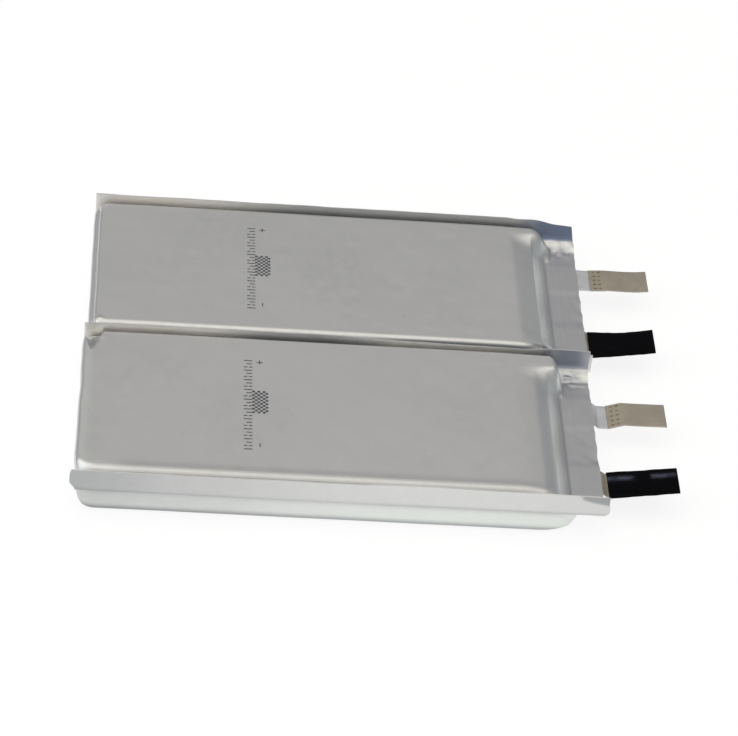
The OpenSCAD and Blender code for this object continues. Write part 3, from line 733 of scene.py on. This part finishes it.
def painted_shade_of(cell, flat, up):
    """Painted shade: on the front cell, a darker front flange and lower cup towards the folded end, in the
    fold crease, on the bottom rim and on the flange top at the tab end, a dimmed front-edge highlight, a dark
    pressed triangle and darker stretches of the back flange; on the back cell, darker stretches of the back
    flange and a dark line on its front wall.
    """
    x, yd, h = flat.T
    share = h / (TOP_H if up > 0 else CUP_H)
    flange = smooth(0.3, 1.2, yd - FOLD_Y) * (h == 0)
    if up > 0 and cell == "back":
        wall = smooth(0, 25, x) * smooth(0.96, 0.9, share) * smooth(-25.5, -26.5, yd) * (h > 0)
        return 0.45 * smooth(-35, -5, x) * smooth(58, 50, x) * flange + wall
    if up > 0:
        edge = np.exp(-((yd + 26.6) / 1.6) ** 2) * smooth(0.8, 1.0, share)
        ear = dog_ear(x, yd)[0] * smooth(27.2, 26.0, yd) * (h > 0)
        return 0.34 * edge * smooth(-64, -54, x) + 0.6 * ear + SHADE_ALONG_FLANGE(x) * flange
    if cell == "back":
        return np.zeros_like(x)
    s = -FOLD_Y - yd
    front_shade = SHADE_ALONG_FRONT(x) * np.where(h > 0, 0.45, 1.0)
    crease = (0.2 + 0.14 * smooth(5, 25, x)) * np.exp(-((s - 0.25) / 0.8) ** 2) * (h == 0)
    foot = 0.16 * smooth(0.22, 0.0, share) * (h > 0)
    rim = 0.85 * smooth(0.58, 0.95, share) * (share < 0.9999)
    top = smooth(-0.5, 0.5, s - CORNER(x)) * (h == 0)
    return np.maximum((front_shade + crease + foot + rim) * smooth(-20, -27, yd), 0.78 * top)


def painted_highlight_of(cell, flat, up):
    """Painted highlights: the white floor's reflection on the front cell's lower front wall and flange, the
    lit rim of its folded end, a lit band on the shoulder, a glint beside the pressed corner and glints at the
    ends of the tab-end folds.
    """
    x, yd, h = flat.T
    if up < 0:
        front = smooth(-20, -27, yd) * np.where(h > 0, 0.85 * smooth(0.0, 0.3, h / CUP_H), 0.16)
        return HIGHLIGHT_ALONG(x) * front * smooth(0.5, -0.5, -FOLD_Y - yd - CORNER(x)) * (cell == "front")
    share = h / TOP_H
    rim = 0.5 * np.exp(-((x + 68.6) / 1.3) ** 2) * smooth(0.9, 1.0, share) * (cell == "front")
    wall = 0.7 * smooth(54.5, 57.0, x) * smooth(0.2, 0.4, share) * smooth(0.8, 0.6, share) * (np.abs(yd) < 27)
    wedge = bell(x, yd, -66.2, 26.2, 0.9, 0.6) * (h > 0) * (cell == "front")
    glint = 0.9 * bell(x, yd - FOLD_Y, *GLINT[cell], 1.2, 1.0) * (h == 0)
    return np.clip(rim + wall + wedge + glint, 0, 1)


def painted_light_of(cell, flat, up):
    """Painted warm light on the inner side of the back flanges, lifting their shade along the stretches that
    the curves give.
    """
    x, yd, h = flat.T
    return LIGHT_ALONG[cell](x) * smooth(0.3, 1.2, yd - FOLD_Y) * (h == 0) * (up > 0)


def shade_of(cell, flat, up):
    """Painted bluish shade: the dark reflection on the back flanges where they are folded over at the tab
    end, and a little painted shade on the front cell's fold ramp there.
    """
    x, yd, h = flat.T
    s = yd - FOLD_Y
    start, low, high, depth = SHADE[cell]
    end = smooth(start, 61, x) * smooth(low, high, s)
    ramp = 0.18 * smooth(60, 63, x) * smooth(69, 66, x) * smooth(-3.2, -2.0, s) * (cell == "front")
    return np.clip(end * depth + ramp, 0, 1) * (h == 0) * (up > 0)


def edge_band(pattern, flat, cell, d0, d1, up, first):
    """Cut edge between two depths along the pattern's outline."""
    line = flat[pattern.outline]
    n = len(line)
    points = np.concatenate([folded(cell, line, d0, up), folded(cell, line, d1, up)])
    faces = []
    for k in range(n):
        i = (k + 1) % n
        faces.append((first + k, first + n + k, first + n + i, first + i))
    return points, faces


def pouch_sheet(cell, name, node, depth, under, up, shape):
    """One formed laminate, from its outer surface at a depth to its cut edge at the depth under."""
    pattern = Pattern(1.0, **shape)
    pattern.flanges(TOPS[cell])
    flat = np.array(pattern.points)
    points = folded(cell, flat, depth, up)
    faces = [tuple(f) if up > 0 else tuple(f[::-1]) for f in pattern.faces]
    band, more = edge_band(pattern, flat, cell, depth, under, up, len(points))
    if up < 0:
        more = [f[::-1] for f in more]
    tones = {"wear_and_highlight": wear_and_highlight_of(flat), "sealed": sealed_of(flat)}
    for key, tone in (("painted_shade", painted_shade_of), ("painted_highlight", painted_highlight_of), ("shade", shade_of), ("painted_light", painted_light_of)):
        tones[key] = tone(cell, flat, up)
    for key, values in tones.items():
        tones[key] = np.r_[values, np.full(len(band), CUT_WEAR_AND_GLINT if key == "wear_and_highlight" else 0.0)]
    points = np.concatenate([points, band])
    return add_mesh(name, points, faces + more, cell + "_cell", [node], "laminate", tones)


def seal_sheet(cell):
    """Melted polymer between the two laminates, open where the cups are."""
    land_rows = 6
    pattern = Pattern(0.5, land_rows=land_rows)
    pattern.flanges(TOPS[cell])
    flat = np.array(pattern.points)
    upper = folded(cell, flat, LAMINATE_T, 1)
    lower = folded(cell, flat, SHEET_T - LAMINATE_T, -1)
    n = len(flat)
    faces = [tuple(f) for f in pattern.faces]
    faces += [tuple(i + n for i in f[::-1]) for f in pattern.faces]
    ends = np.concatenate([pattern.outline, pattern.outline + n])
    points = np.concatenate([upper, lower])
    band = points[ends]
    k = len(pattern.outline)
    start = len(points)
    for j in range(k):
        i = (j + 1) % k
        faces.append((start + j, start + k + j, start + k + i, start + i))
    foot = land_rows * pattern.n
    for j in range(pattern.n):
        i = (j + 1) % pattern.n
        faces.append((foot + i, n + foot + i, n + foot + j, foot + j))
    return add_mesh(cell + "_seal_layer", np.concatenate([points, band]), faces, cell + "_cell",
                    [cell + "_heat_seal"], "seal_polymer")


# Walls as inset and height; sections run front, back, tab end, folded end
LEDGE = [(0, 0), (-0.25, 2.2), (-0.35, 4.4), (-0.15, 5.35), (0.25, 5.75), (1.05, 5.95), (1.25, 6.4),
         (1.4, 6.85), (1.75, 7.12), (2.4, TOP_H)]
SOFT = [(0, 0), (-0.3, 1.0), (-0.62, 2.2), (-0.82, 3.4), (-0.9, 4.4), (-0.86, 5.2), (-0.62, 5.85),
        (-0.22, 6.4), (0.32, 6.81), (0.95, 7.08), (1.65, 7.2), (2.65, TOP_H)]
UPPER = {
    "front": {"end_x": 63.1, "tab_rx": 5.2, "side_r": 4.6, "sections": (
        outline(SOFT), profile(0.3, 104, 86, 0.6, TOP_H),
        bent([(0.5, 0, 72), (5.2, 72, 70), (2.0, 70, 0)], TOP_H), profile(0.2, 107, 84, 1.3, TOP_H)),
        "scoop": ([1.0, 0] + bent([(0.9, 0, 44), (1.4, 44, 47), (2.8, 47, 52), (0.4, 52, 36), (2.6, 34, 26),
                                   (1.0, 26, 8), (3.0, 8, 4), (1.4, 4, 0)], TOP_H), 1.0)},
    "back": {"end_x": 63.6, "tab_rx": 8.0, "sections": (
        profile(0.3, 100, 84, 2.1, TOP_H), profile(0.3, 104, 86, 2.0, TOP_H),
        bent([(0.8, 0, 60), (4.6, 60, 56), (2.8, 56, 0)], TOP_H), outline(LEDGE)),
        "scoop": ([2.0, 0] + bent([(0.9, 0, 44), (1.5, 44, 47), (3.5, 47, 51), (0.4, 51, 27), (4.4, 23, 17),
                                   (1.4, 17, 0)], TOP_H), 0.5)},
}
RISING = [(0, 0), (0.45, 1.6), (0.75, 2.6), (1.15, 3.6), (1.6, 4.5), (2.1, 4.85), (3.5, 5.1),
          (4.75, 5.45), (7.3, 6.24), (10.5, CUP_H)]
LOWER = {"end_x": 63.6, "fold_rx": 5.8, "tab_rx": 12.5, "square": 0.42, "sections": (
    profile(0.3, 106, 84, 1.4, CUP_H), profile(0.3, 101, 84, 2.0, CUP_H), outline(RISING),
    profile(0.2, 98, 72, 3.4, CUP_H))}
for cell in CELLS:
    pouch_sheet(cell, cell + "_pouch_top_shell", cell + "_pouch_upper", 0.0, LAMINATE_T, 1, UPPER[cell])
    pouch_sheet(cell, cell + "_pouch_bottom_shell", cell + "_pouch_lower", SHEET_T,
                SHEET_T - LAMINATE_T, -1, LOWER)
    seal_sheet(cell)


# Tabs and sleeves: sections swept along a path in the XZ plane
def sweep(path, section, closed_ends=True):
    """Points and faces of a closed section (y, up) carried along a path of (x, z)."""
    path = np.asarray(path)
    slope = np.gradient(path, axis=0)
    slope /= np.linalg.norm(slope, axis=1)[:, None]
    up = np.stack([-slope[:, 1], slope[:, 0]], 1)
    n = section.shape[-2]
    section = np.broadcast_to(section, (len(path), n, 2))
    x = path[:, None, 0] + section[..., 1] * up[:, None, 0]
    z = path[:, None, 1] + section[..., 1] * up[:, None, 1]
    points = np.stack([x, section[..., 0], z], -1).reshape(-1, 3)
    faces = []
    for r in range(len(path) - 1):
        for j in range(n):
            i = (j + 1) % n
            faces.append((r * n + j, r * n + i, (r + 1) * n + i, (r + 1) * n + j))
    if closed_ends:
        last = (len(path) - 1) * n
        faces.append(tuple(range(n - 1, -1, -1)))
        faces.append(tuple(last + k for k in range(n)))
    return points, faces


def strip_section(width, thick, cut=0.04):
    """Flat strip with broken corners, counter-clockwise seen along +x, with rows across the faces."""
    w, t = width / 2, thick / 2
    across = np.linspace(-w + cut, w - cut, 25)
    lower = np.stack([across, np.full_like(across, -t)], 1)
    upper = np.stack([across[::-1], np.full_like(across, t)], 1)
    return np.concatenate([lower, [[w, -t + cut], [w, t - cut]], upper, [[-w, t - cut], [-w, -t + cut]]])


# Height of the tabs' middle planes along the cell
POSITIVE = {
    "front": curve([50, 70.2, 71.6, 74.4, 78.3, 82, 91],
                   [7.25, 7.25, 6.1, 6.05, 7.45, 7.41, 7.55], 1.1),
    "back": curve([50, 70.3, 71.6, 73.6, 78.1, 84, 87.5, 91],
                  [7.25, 7.25, 7.17, 7.17, 7.47, 7.37, 7.5, 7.95], 1.1),
}
LAP = {"front": (74.3, 78.5), "back": (73.6, 78.1)}
BLADE_X = BEND_X + 1.2
TILT = {"front": 9.0, "back": 8.0}
SAG = {"front": 0.05, "back": 0.4}
BLADE_END = {"front": 90.4, "back": 89.0}
SLEEVE_X = {"front": (72.0, 90.8), "back": (71.15, 89.6)}
MOUTH = {"front": (0.10, 0.1), "back": (0.75, 0.9)}
WALLS = 0.40


def blade_line(cell, x):
    along = x - BLADE_X
    sag = SAG[cell] * np.sin(np.pi * np.clip(along / 18, 0, 1))
    return SEAL_Z - 1.0 + math.tan(math.radians(TILT[cell])) * along - sag


NEGATIVE = {}
for cell in CELLS:
    far = np.linspace(BLADE_X, 92, 40)
    NEGATIVE[cell] = curve([50, 70.2, *far], [SEAL_Z, SEAL_Z, *blade_line(cell, far)], 0.9)


WELDS = {
    cell: [((a + b) / 2 + u, POSITIVE_Y + 1.9 * (r - 2)) for u in (-0.75, 0.75) for r in range(5)]
    for cell, (a, b) in LAP.items()
}


def heat_of(cell, points):
    spots = [bell(points[:, 0], points[:, 1], x, y, 0.60, 0.38) for x, y in WELDS[cell]]
    return np.clip(np.sum(spots, 0), 0, 1)


def strip(line, x0, x1, y, lift, step=0.22):
    x = np.linspace(x0, x1, int((x1 - x0) / step) + 2)
    points, faces = sweep(np.stack([x, line(x) + lift], 1), strip_section(TAB_W, TAB_T))
    return points + [0, y, 0], faces


def weld_spots(cell):
    points, faces = [], []
    line = POSITIVE[cell]
    rng = np.random.default_rng(5)
    for x, y in WELDS[cell]:
        radius = 0.29 * rng.uniform(0.85, 1.15)
        profile_r = np.array([0.0, 0.3, 0.55, 0.8, 1.0]) * radius
        profile_h = np.array([0.015, 0.03, 0.06, 0.04, -0.03])
        start = len(points)
        slope = (line(x + 0.3) - line(x - 0.3)) / 0.6
        for r, h in zip(profile_r, profile_h):
            for k in range(16):
                a = 2 * math.pi * k / 16
                wobble = 1 + 0.12 * math.sin(3 * a + x + y)
                dx, dy = 1.6 * r * math.cos(a) * wobble, r * math.sin(a) * wobble
                points.append((x + dx, y + dy, line(x) + slope * dx + 0.3 + h))
        for ring in range(4):
            for k in range(16):
                i = (k + 1) % 16
                a, b = start + ring * 16, start + (ring + 1) * 16
                faces.append((a + k, b + k, b + i, a + i))
        faces.append(tuple(start + k for k in range(16)))
    return np.array(points), faces


def sleeve(cell):
    """Snug black tube, flattened on its tab, uneven and a little open at the root."""
    x0, x1 = SLEEVE_X[cell]
    length = x1 - x0
    along = np.concatenate([np.linspace(0, 1, 9)[:-1], np.linspace(1, length - 0.6, 60),
                            np.linspace(length - 0.6, length, 7)[1:]])
    n = 72
    turn = 2 * np.pi * (np.arange(n) + 0.5) / n
    cos, sin = np.cos(turn), np.sin(turn)
    across = np.sign(cos) * np.abs(cos) ** 0.62 / 2
    upward = np.sign(sin) * np.abs(sin) ** 0.5 / 2
    u = along[:, None]
    seed = SEEDS[cell] + 50
    puff, flare = MOUTH[cell]
    outer_w = 10.12 + 0.12 * ripple(u, seed, 11) + flare * np.exp(-(u / 6.0) ** 2)
    outer_h = 0.92 + puff * np.exp(-(u / 5.5) ** 1.5) + 0.10 * ripple(u + 3, seed + 1, 7)
    outer = np.stack([across * outer_w, upward * outer_h], -1)
    crumple = 0.05 * ripple2(u, 3 * turn[None] / np.pi * 4, seed + 2, 5)
    outer[..., 1] += crumple * np.sign(upward)
    inner = np.stack([across * (outer_w - WALLS), upward * np.maximum(outer_h - WALLS, 0.5)], -1)
    path = np.stack([x0 + along, blade_line(cell, x0 + along)], 1)
    a, fa = sweep(path, outer, False)
    b, fb = sweep(path, inner, False)
    points = np.concatenate([a, b])
    k = len(a)
    faces = fa + [tuple(i + k for i in f[::-1]) for f in fb]
    last = (len(path) - 1) * n
    ends = np.concatenate([points[:n], points[k:k + n], points[last:last + n], points[k + last:k + last + n]])
    start = len(points)
    for j in range(n):
        i = (j + 1) % n
        faces.append((start + j, start + n + j, start + n + i, start + i))
        faces.append((start + 2 * n + i, start + 3 * n + i, start + 3 * n + j, start + 2 * n + j))
    points = np.concatenate([points, ends]) + [0, NEGATIVE_Y, 0]
    return points, faces


def painted_streak_of(cell, points):
    """Painted bluish highlight streak along the upper side of the front sleeve."""
    x, y, z = points.T
    streak = np.exp(-((y - NEGATIVE_Y - 2.1) / 0.75) ** 2) * smooth(0.0, 0.3, z - blade_line(cell, x))
    broken = smooth(-0.5, 0.2, ripple(x, 61, 12))
    return np.clip(streak * broken, 0, 1) * (cell == "front")


def place(cell, made):
    points, faces = made
    return points + CELLS[cell], faces


def bend_of(cell, tab, y):
    """The two bodies that a tab joins, and where its bend begins and ends."""
    ends = [tuple((np.array([x, y, SEAL_Z]) + CELLS[cell]) * 0.001) for x in BEND_SPAN]
    return cell + "_cell", cell + tab, *ends


for cell in CELLS:
    made = place(cell, strip(POSITIVE[cell], LEAD_X0, LAP[cell][1], POSITIVE_Y, 0))
    add_mesh(cell + "_positive_tab_strip", *made, bend_of(cell, "_positive_tab", POSITIVE_Y),
             [cell + "_positive_lead", cell + "_positive_stub"], "tab_aluminium")
    points, faces = strip(POSITIVE[cell], LAP[cell][0], TAB_END, POSITIVE_Y, TAB_T)
    add_mesh(cell + "_nickel_strip_formed", *place(cell, (points, faces)), cell + "_positive_tab",
             [cell + "_nickel_strip"], "tab_nickel", {"heat": heat_of(cell, points)})
    add_mesh(cell + "_weld_craters", *place(cell, weld_spots(cell)), cell + "_positive_tab",
             [cell + "_strip_welds"], "weld_spot")
    points, faces = place(cell, strip(NEGATIVE[cell], LEAD_X0, BLADE_END[cell], NEGATIVE_Y, 0))
    add_mesh(cell + "_negative_tab_strip", points, faces, bend_of(cell, "_negative_tab", NEGATIVE_Y),
             [cell + "_negative_lead", cell + "_negative_blade"], "tab_nickel",
             {"heat": np.zeros(len(points))})
    points, faces = sleeve(cell)
    add_mesh(cell + "_tab_sleeve", *place(cell, (points, faces)), cell + "_sleeve",
             [cell + "_insulating_sleeve"], "sleeve_black", {"rubbed": painted_streak_of(cell, points)})


# Generic ink marks on the faces: polarity signs, a plain checker block and plain ticks
TICKS = (((0.0, 2.3),), ((-0.68, 0.95), (0.68, 0.95)), ((0.3, 1.5),))
CHECK = 0.72
INK_SHIFT = -1.8


def ink_marks(cell):
    rects = [(-22.0, 20.0, 1.7, 0.3), (-22.0, 20.0, 0.3, 1.7), (-22.0, -14.4, 0.3, 1.5)]
    for k in range(28):
        y = -16.2 + k * 1.36
        rects += [(-25.15 + dx, y, w, 0.34) for dx, w in TICKS[k % 3]]
    for i in range(6):
        for j in range(13):
            if (i + j) % 2 == 0:
                rects.append((-23.7 + CHECK * i, -1.1 + CHECK * j, CHECK, CHECK))
    points, faces = [], []
    for x, y, w, h in rects:
        a = len(points)
        for dx, dy in ((-1, -1), (1, -1), (1, 1), (-1, 1)):
            px, py = x + dx * w / 2, y + INK_SHIFT + dy * h / 2
            points.append((px, py, TOP_H + LAND_Z + float(face_relief(cell, px, py)) + 0.02))
        faces.append((a, a + 1, a + 2, a + 3))
    obj = add_mesh(cell + "_ink_marks", *place(cell, (np.array(points), faces)), cell + "_cell", None,
                   "laminate")
    obj.data.materials.clear()
    obj.data.materials.append(INK)


for cell in CELLS:
    ink_marks(cell)


# Floor, light and camera
def white_floor():
    """Pale floor, white to the camera and in reflections, that still takes the shadow."""
    s = Shader("floor", Base_Color=(0.22, 0.22, 0.22, 1), Roughness=0.9, Specular_IOR_Level=0.0,
               Emission_Color=(1, 1, 1, 1))
    rays = s.add("ShaderNodeLightPath").outputs
    seen = s.math("ADD", rays["Is Camera Ray"], rays["Is Glossy Ray"])
    seen = s.math("MINIMUM", s.math("ADD", seen, rays["Is Transmission Ray"]), 1.0)
    s.link(s.math("MULTIPLY", seen, 0.845), s.bsdf.inputs["Emission Strength"])
    return s.finish()


floor_mesh = bpy.data.meshes.new("floor")
FLOOR = 6.0
floor_mesh.from_pydata([(FLOOR * a, FLOOR * b, 0) for a, b in ((-1, -1), (1, -1), (1, 1), (-1, 1))], [],
                       [(0, 1, 2, 3)])
floor = bpy.data.objects.new("floor", floor_mesh)
bpy.context.scene.collection.objects.link(floor)
floor.data.materials.append(white_floor())

world = bpy.data.worlds.new("studio")
bpy.context.scene.world = world
world.use_nodes = True
nodes, links = world.node_tree.nodes, world.node_tree.links
nodes.clear()
background = nodes.new("ShaderNodeBackground")
ramp = nodes.new("ShaderNodeValToRGB")
split = nodes.new("ShaderNodeSeparateXYZ")
where = nodes.new("ShaderNodeTexCoord")
out = nodes.new("ShaderNodeOutputWorld")
stops = (
    (0.0, (0.185, 0.20, 0.245)), (0.25, (0.225, 0.24, 0.27)), (0.45, (0.315, 0.32, 0.335)),
    (0.63, (0.44, 0.43, 0.43)), (0.8, (0.53, 0.52, 0.51)), (1.0, (0.72, 0.70, 0.67)),
)
while len(ramp.color_ramp.elements) < len(stops):
    ramp.color_ramp.elements.new(0.5)
for element, (at, value) in zip(ramp.color_ramp.elements, stops):
    element.position = at
    element.color = (*value, 1)
links.new(where.outputs["Generated"], split.inputs[0])
links.new(split.outputs["Z"], ramp.inputs[0])
links.new(ramp.outputs[0], background.inputs["Color"])
links.new(background.outputs[0], out.inputs["Surface"])


def soft_lamp(name, place, target, size, power, colour):
    data = bpy.data.lights.new(name, "AREA")
    data.shape = "RECTANGLE"
    data.size, data.size_y = size
    data.energy = power
    data.color = colour
    lamp = bpy.data.objects.new(name, data)
    place, target = np.array(place), np.array(target)
    back = (place - target) / np.linalg.norm(place - target)
    right = np.cross([0, 1, 0.01], back)
    right /= np.linalg.norm(right)
    up = np.cross(back, right)
    matrix = np.eye(4)
    matrix[:3, 0], matrix[:3, 1], matrix[:3, 2], matrix[:3, 3] = right, up, back, place
    lamp.matrix_world = Matrix(matrix.tolist())
    bpy.context.scene.collection.objects.link(lamp)


soft_lamp("overhead", (0.0, 0.03, 1.3), (0, 0.03, 0), (1.6, 1.2), 3.0, (1.0, 0.955, 0.88))
soft_lamp("front", (0.0, -1.5, 0.55), (0, 0.03, 0.01), (2.2, 0.8), 2.5, (1.0, 0.98, 0.95))
soft_lamp("side", (-1.1, -0.3, 0.9), (0, 0.03, 0), (1.2, 1.2), 5.0, (0.95, 0.975, 1.0))

camera_data = bpy.data.cameras.new("camera")
camera_data.sensor_fit = "HORIZONTAL"
FOCAL_PX, IMAGE_W, SENSOR = 3050.9389, 738, 36.0
camera_data.sensor_width = SENSOR
camera_data.lens = FOCAL_PX / IMAGE_W * SENSOR
camera_data.clip_end = 50
camera = bpy.data.objects.new("camera", camera_data)
right = (0.9950286837, -0.0305272225, 0.0947945529)
down = (0.0539218384, -0.6351175297, -0.7705310888)
ahead = (0.0837278563, 0.7718120316, -0.6303140757)
spot = (-0.0618705, -0.6250445, 0.5402580)
camera.matrix_world = Matrix(
    [[right[k], -down[k], -ahead[k], spot[k]] for k in range(3)] + [[0, 0, 0, 1]]
)
bpy.context.scene.collection.objects.link(camera)
bpy.context.scene.camera = camera
bpy.context.scene.view_settings.view_transform = "Standard"
